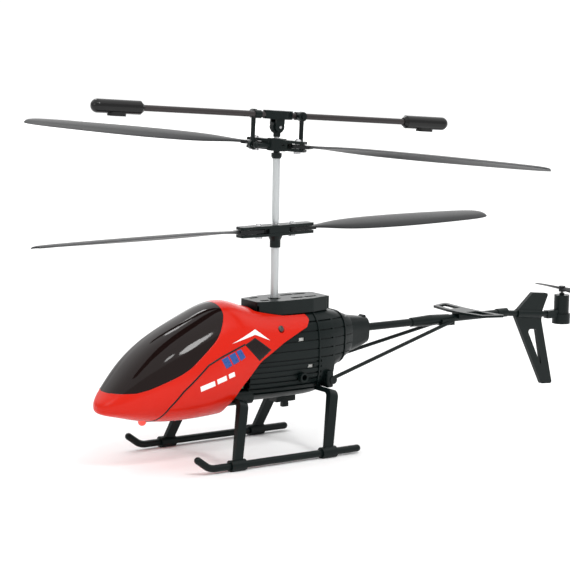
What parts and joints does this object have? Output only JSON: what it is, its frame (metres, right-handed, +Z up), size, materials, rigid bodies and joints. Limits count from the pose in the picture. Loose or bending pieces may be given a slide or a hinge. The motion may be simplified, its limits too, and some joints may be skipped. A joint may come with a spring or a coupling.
{
  "type": "toy helicopter",
  "caption": "Small coaxial toy helicopter: red canopy with dark windshield, black ribbed body, two folding-blade rotors, balance bar, slim tail with fin, and skids.",
  "frame": {"origin": "on the ground under the middle of the overall length; the main shaft stands 22.1 mm forward of it", "axes": "+X is the nose, +Y is port, +Z is up along the main shaft"},
  "size_m": [0.244, 0.1712, 0.1287],
  "materials": {
    "red_plastic": "glossy moulded orange-red plastic",
    "tinted_gloss": "high-gloss near-black windshield",
    "red_light": "clear red lens",
    "black_plastic": "satin charcoal plastic",
    "gloss_black": "glossy black",
    "blade_plastic": "satin black flexible blade plastic",
    "grey_tube": "satin light grey",
    "dark_rod": "dark grey rod",
    "steel": "bright steel",
    "brass": "plain brass",
    "white_plastic": "natural white nylon",
    "cell_wrap": "silver-grey foil cell",
    "board_green": "green circuit board"
  },
  "bodies": {
    "airframe": {"canopy_shell": "red_plastic", "windshield": "tinted_gloss", "nose_light": "red_light", "skid_left": "black_plastic", "skid_right": "black_plastic", "skid_strut_front": "black_plastic", "skid_strut_rear": "black_plastic", "frame_left": "black_plastic", "frame_right": "black_plastic", "rear_housing": "black_plastic", "tail_cone": "black_plastic", "top_deck": "black_plastic", "top_bearing": "black_plastic", "charging_socket": "black_plastic", "switch_housing": "black_plastic", "battery": "cell_wrap", "circuit_board": "board_green", "base_bearing": "brass", "motor_mount": "black_plastic", "motor_left": "steel", "motor_right": "steel", "body_screws": "steel", "tail_boom": "black_plastic", "boom_sleeve": "black_plastic", "aft_boom": "black_plastic", "boom_strut_left": "black_plastic", "boom_strut_right": "black_plastic", "strut_brackets": "black_plastic", "horizontal_stabiliser": "black_plastic", "vertical_fin": "black_plastic", "tail_motor_holder": "black_plastic", "tail_motor": "gloss_black"},
    "lower_rotor": {"outer_shaft": "grey_tube", "lower_gear": "white_plastic", "lower_hub": "black_plastic", "lower_blade_screws": "steel"},
    "lower_blade_a": {"lower_blade_a": "blade_plastic"},
    "lower_blade_b": {"lower_blade_b": "blade_plastic"},
    "upper_rotor": {"inner_shaft": "steel", "upper_gear": "white_plastic", "shaft_sleeve": "grey_tube", "head_collar": "black_plastic", "rotor_head": "black_plastic"},
    "upper_grip": {"upper_hub": "black_plastic", "hub_pivot_pin": "steel", "upper_blade_screws": "steel"},
    "upper_blade_a": {"upper_blade_a": "blade_plastic"},
    "upper_blade_b": {"upper_blade_b": "blade_plastic"},
    "balance_bar": {"bar_hub": "black_plastic", "bar_pivot_pin": "steel", "bar_rod": "dark_rod", "link_studs": "black_plastic", "bar_weight_front": "gloss_black", "bar_weight_rear": "gloss_black"},
    "front_link": {"link_front": "black_plastic"},
    "rear_link": {"link_rear": "black_plastic"},
    "left_pinion": {"pinion_left": "brass"},
    "right_pinion": {"pinion_right": "brass"},
    "tail_rotor": {"tail_rotor": "blade_plastic"},
    "power_switch": {"switch_knob": "black_plastic"}
  },
  "joints": [
    {"name": "lower_rotor_spin", "type": "hinge", "parent": "airframe", "child": "lower_rotor", "pos_m": [0.0221, 0, 0.08], "axis": [0, 0, 1], "continuous": true},
    {"name": "upper_rotor_spin", "type": "hinge", "parent": "airframe", "child": "upper_rotor", "pos_m": [0.0221, 0, 0.11], "axis": [0, 0, 1], "continuous": true},
    {"name": "lower_blade_a_fold", "type": "hinge", "parent": "lower_rotor", "child": "lower_blade_a", "pos_m": [0.02959, 0.00026, 0.0801], "axis": [0, 0, 1], "range_deg": [-75, 75]},
    {"name": "lower_blade_b_fold", "type": "hinge", "parent": "lower_rotor", "child": "lower_blade_b", "pos_m": [0.0146, -0.00026, 0.0801], "axis": [0, 0, 1], "range_deg": [-75, 75]},
    {"name": "balance_bar_tilt", "type": "hinge", "parent": "upper_rotor", "child": "balance_bar", "pos_m": [0.0221, 0, 0.117], "axis": [-0.0523, -0.9986, 0], "range_deg": [-18, 10]},
    {"name": "upper_grip_tilt", "type": "hinge", "parent": "upper_rotor", "child": "upper_grip", "pos_m": [0.0221, 0, 0.1107], "axis": [-0.0523, -0.9986, 0], "range_deg": [-18, 10]},
    {"name": "upper_blade_a_fold", "type": "hinge", "parent": "upper_grip", "child": "upper_blade_a", "pos_m": [0.02645, -0.00671, 0.11103], "axis": [-0.0697, 0.0037, 0.9976], "range_deg": [-45, 10]},
    {"name": "upper_blade_b_fold", "type": "hinge", "parent": "upper_grip", "child": "upper_blade_b", "pos_m": [0.01775, 0.00671, 0.11037], "axis": [-0.0697, 0.0037, 0.9976], "range_deg": [-45, 10]},
    {"name": "front_link_pivot", "type": "hinge", "parent": "balance_bar", "child": "front_link", "pos_m": [0.03037, -0.00043, 0.12179], "axis": [-0.0523, -0.9986, 0], "range_deg": [-8, 12]},
    {"name": "rear_link_pivot", "type": "hinge", "parent": "balance_bar", "child": "rear_link", "pos_m": [0.01324, 0.00046, 0.12059], "axis": [-0.0523, -0.9986, 0], "range_deg": [-8, 12]},
    {"name": "left_pinion_spin", "type": "hinge", "parent": "airframe", "child": "left_pinion", "pos_m": [0.03146, 0.00477, 0.036], "axis": [0, 0, 1], "continuous": true},
    {"name": "right_pinion_spin", "type": "hinge", "parent": "airframe", "child": "right_pinion", "pos_m": [0.03146, -0.00477, 0.031], "axis": [0, 0, 1], "continuous": true},
    {"name": "tail_rotor_spin", "type": "hinge", "parent": "airframe", "child": "tail_rotor", "pos_m": [-0.1183, 0, 0.048], "axis": [0, 0, 1], "continuous": true},
    {"name": "power_switch_slide", "type": "slide", "parent": "airframe", "child": "power_switch", "axis": [1, 0, 0], "range_m": [0, 0.002]}
  ],
  "couplings": [
    {"joint": "left_pinion_spin", "follows": "lower_rotor_spin", "ratio": -6},
    {"joint": "right_pinion_spin", "follows": "upper_rotor_spin", "ratio": -6},
    {"joint": "upper_grip_tilt", "follows": "balance_bar_tilt", "ratio": 1},
    {"joint": "front_link_pivot", "follows": "balance_bar_tilt", "ratio": -0.5727},
    {"joint": "rear_link_pivot", "follows": "balance_bar_tilt", "ratio": -0.5727}
  ]
}
